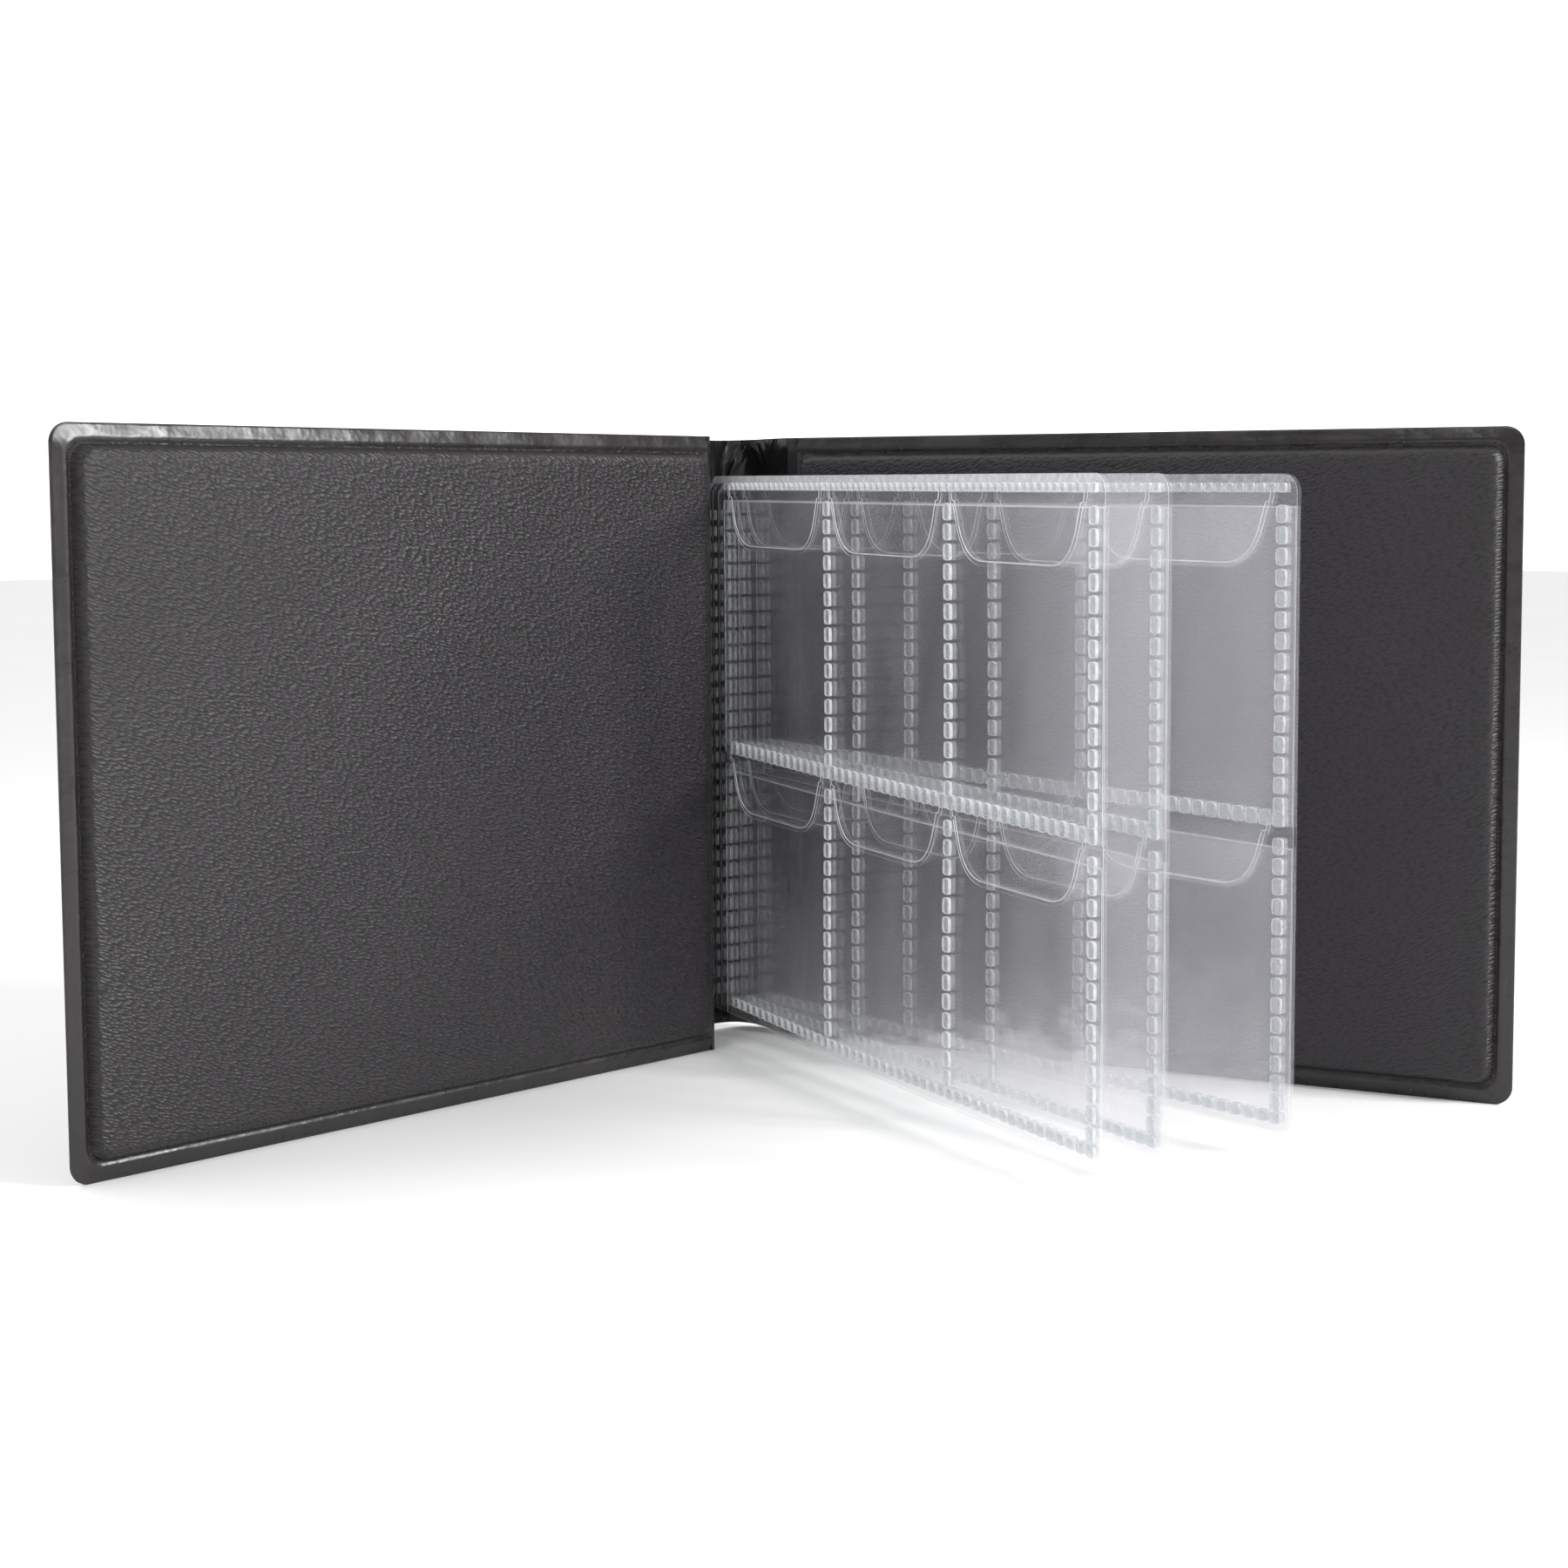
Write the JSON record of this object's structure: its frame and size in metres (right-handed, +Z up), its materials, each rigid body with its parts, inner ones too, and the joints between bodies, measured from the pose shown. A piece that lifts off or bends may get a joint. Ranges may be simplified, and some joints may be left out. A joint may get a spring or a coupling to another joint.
{
  "type": "coin album",
  "caption": "Pocket album for coins: two board-stiffened vinyl covers on a soft spine, with clear pages of open-topped pockets and fold-down flaps.",
  "frame": {"origin": "middle of the spine's foot, on its outer face", "axes": "+Z up along the spine, +X across the spine from the front cover to the back cover, -Y out of the spine's mouth to the reader"},
  "size_m": [0.2582, 0.1846, 0.145],
  "materials": {
    "leatherette": "embossed leather-grain PVC, satin",
    "spine_vinyl": "smooth soft PVC, glossy",
    "greyboard": "uncoated grey board, matt",
    "clear_vinyl": "clear soft PVC film, glossy"
  },
  "bodies": {
    "spine": {"spine_skin": "leatherette", "spine_lining": "spine_vinyl"},
    "front_cover": {"front_skin": "leatherette", "front_board": "greyboard", "front_lining": "leatherette"},
    "back_cover": {"back_skin": "leatherette", "back_board": "greyboard", "back_lining": "leatherette"},
    "page_1_margin": {"page_1_margin": "clear_vinyl"},
    "page_2_margin": {"page_2_margin": "clear_vinyl"},
    "page_3_margin": {"page_3_margin": "clear_vinyl"},
    "page_4_margin": {"page_4_margin": "clear_vinyl"},
    "page_5_margin": {"page_5_margin": "clear_vinyl"},
    "page_6_margin": {"page_6_margin": "clear_vinyl"},
    "page_1": {"page_1_back_sheet": "clear_vinyl", "page_1_upper_pocket": "clear_vinyl", "page_1_lower_pocket": "clear_vinyl"},
    "page_2": {"page_2_back_sheet": "clear_vinyl", "page_2_upper_pocket": "clear_vinyl", "page_2_lower_pocket": "clear_vinyl", "page_2_upper_flaps": "clear_vinyl", "page_2_lower_flaps": "clear_vinyl"},
    "page_3": {"page_3_back_sheet": "clear_vinyl", "page_3_upper_pocket": "clear_vinyl", "page_3_lower_pocket": "clear_vinyl", "page_3_upper_flaps": "clear_vinyl", "page_3_lower_flaps": "clear_vinyl"},
    "page_4": {"page_4_back_sheet": "clear_vinyl", "page_4_upper_pocket": "clear_vinyl", "page_4_lower_pocket": "clear_vinyl", "page_4_upper_flaps": "clear_vinyl", "page_4_lower_flaps": "clear_vinyl"},
    "page_5": {"page_5_back_sheet": "clear_vinyl", "page_5_upper_pocket": "clear_vinyl", "page_5_lower_pocket": "clear_vinyl", "page_5_upper_flaps": "clear_vinyl", "page_5_lower_flaps": "clear_vinyl"},
    "page_6": {"page_6_back_sheet": "clear_vinyl", "page_6_upper_pocket": "clear_vinyl", "page_6_lower_pocket": "clear_vinyl", "page_6_upper_flaps": "clear_vinyl", "page_6_lower_flaps": "clear_vinyl"},
    "page_1_upper_flap_1": {"page_1_upper_flap_1": "clear_vinyl"},
    "page_1_upper_flap_2": {"page_1_upper_flap_2": "clear_vinyl"},
    "page_1_upper_flap_3": {"page_1_upper_flap_3": "clear_vinyl"},
    "page_1_lower_flap_1": {"page_1_lower_flap_1": "clear_vinyl"},
    "page_1_lower_flap_2": {"page_1_lower_flap_2": "clear_vinyl"},
    "page_1_lower_flap_3": {"page_1_lower_flap_3": "clear_vinyl"}
  },
  "joints": [
    {"name": "front_cover_hinge", "type": "hinge", "parent": "spine", "child": "front_cover", "pos_m": [-0.0132, -0.01845, 0.0725], "axis": [0, 0, 1], "range_deg": [-20, 84.9]},
    {"name": "back_cover_hinge", "type": "hinge", "parent": "spine", "child": "back_cover", "pos_m": [0.0132, -0.01845, 0.0725], "axis": [0, 0, 1], "range_deg": [-18.9, 86]},
    {"name": "page_1_root", "type": "hinge", "parent": "spine", "child": "page_1_margin", "pos_m": [0.0003, -0.00165, 0.06765], "axis": [0, 0, 1], "range_deg": [-3.96, 16.5]},
    {"name": "page_2_root", "type": "hinge", "parent": "spine", "child": "page_2_margin", "pos_m": [0.0021, -0.00165, 0.06765], "axis": [0, 0, 1], "range_deg": [-3.96, 16.5]},
    {"name": "page_3_root", "type": "hinge", "parent": "spine", "child": "page_3_margin", "pos_m": [0.0039, -0.00165, 0.06765], "axis": [0, 0, 1], "range_deg": [-3.1, 12.85]},
    {"name": "page_4_root", "type": "hinge", "parent": "spine", "child": "page_4_margin", "pos_m": [0.0057, -0.00165, 0.06765], "axis": [0, 0, 1], "range_deg": [-3.1, 12.85]},
    {"name": "page_5_root", "type": "hinge", "parent": "spine", "child": "page_5_margin", "pos_m": [0.0075, -0.00165, 0.06765], "axis": [0, 0, 1], "range_deg": [-0.81, 3.1]},
    {"name": "page_6_root", "type": "hinge", "parent": "spine", "child": "page_6_margin", "pos_m": [0.0093, -0.00165, 0.06765], "axis": [0, 0, 1], "range_deg": [-0.81, 3.1]},
    {"name": "page_1_turn", "type": "hinge", "parent": "page_1_margin", "child": "page_1", "pos_m": [-0.00252, -0.01124, 0.06765], "axis": [0, 0, 1], "range_deg": [-26, 0]},
    {"name": "page_2_turn", "type": "hinge", "parent": "page_2_margin", "child": "page_2", "pos_m": [-0.00072, -0.01124, 0.06765], "axis": [0, 0, 1], "range_deg": [-21.6, 0.1]},
    {"name": "page_3_turn", "type": "hinge", "parent": "page_3_margin", "child": "page_3", "pos_m": [0.00169, -0.0114, 0.06765], "axis": [0, 0, 1], "range_deg": [-21.6, 0.1]},
    {"name": "page_4_turn", "type": "hinge", "parent": "page_4_margin", "child": "page_4", "pos_m": [0.00349, -0.0114, 0.06765], "axis": [0, 0, 1], "range_deg": [-18.1, 0.1]},
    {"name": "page_5_turn", "type": "hinge", "parent": "page_5_margin", "child": "page_5", "pos_m": [0.00698, -0.01164, 0.06765], "axis": [0, 0, 1], "range_deg": [-20.1, 0.1]},
    {"name": "page_6_turn", "type": "hinge", "parent": "page_6_margin", "child": "page_6", "pos_m": [0.00878, -0.01164, 0.06765], "axis": [0, 0, 1], "range_deg": [-17.1, 0.1]},
    {"name": "page_1_upper_flap_1_hinge", "type": "hinge", "parent": "page_1", "child": "page_1_upper_flap_1", "pos_m": [-0.01188, -0.03879, 0.1327], "axis": [0.2823, 0.9593, 0], "range_deg": [0, 30]},
    {"name": "page_1_upper_flap_2_hinge", "type": "hinge", "parent": "page_1", "child": "page_1_upper_flap_2", "pos_m": [-0.02717, -0.09072, 0.1327], "axis": [-0.2823, -0.9593, 0], "range_deg": [-100, 0]},
    {"name": "page_1_upper_flap_3_hinge", "type": "hinge", "parent": "page_1", "child": "page_1_upper_flap_3", "pos_m": [-0.04245, -0.14265, 0.1327], "axis": [-0.2823, -0.9593, 0], "range_deg": [-100, 0]},
    {"name": "page_1_lower_flap_1_hinge", "type": "hinge", "parent": "page_1", "child": "page_1_lower_flap_1", "pos_m": [-0.01188, -0.03879, 0.06925], "axis": [0.2823, 0.9593, 0], "range_deg": [0, 30]},
    {"name": "page_1_lower_flap_2_hinge", "type": "hinge", "parent": "page_1", "child": "page_1_lower_flap_2", "pos_m": [-0.02717, -0.09072, 0.06925], "axis": [-0.2823, -0.9593, 0], "range_deg": [-100, 0]},
    {"name": "page_1_lower_flap_3_hinge", "type": "hinge", "parent": "page_1", "child": "page_1_lower_flap_3", "pos_m": [-0.04245, -0.14265, 0.06925], "axis": [-0.2823, -0.9593, 0], "range_deg": [-100, 0]}
  ],
  "couplings": [
    {"joint": "page_1_root", "follows": "front_cover_hinge", "ratio": 0.19317},
    {"joint": "page_2_root", "follows": "front_cover_hinge", "ratio": 0.19317},
    {"joint": "page_3_root", "follows": "front_cover_hinge", "ratio": 0.15018},
    {"joint": "page_4_root", "follows": "front_cover_hinge", "ratio": 0.15018},
    {"joint": "page_5_root", "follows": "front_cover_hinge", "ratio": 0.03534},
    {"joint": "page_6_root", "follows": "front_cover_hinge", "ratio": 0.03534},
    {"joint": "page_2_turn", "follows": "page_1_turn", "ratio": 0.8269},
    {"joint": "page_3_turn", "follows": "page_1_turn", "ratio": 0.8269},
    {"joint": "page_4_turn", "follows": "page_1_turn", "ratio": 0.6923},
    {"joint": "page_5_turn", "follows": "page_1_turn", "ratio": 0.7692},
    {"joint": "page_6_turn", "follows": "page_1_turn", "ratio": 0.6538}
  ]
}
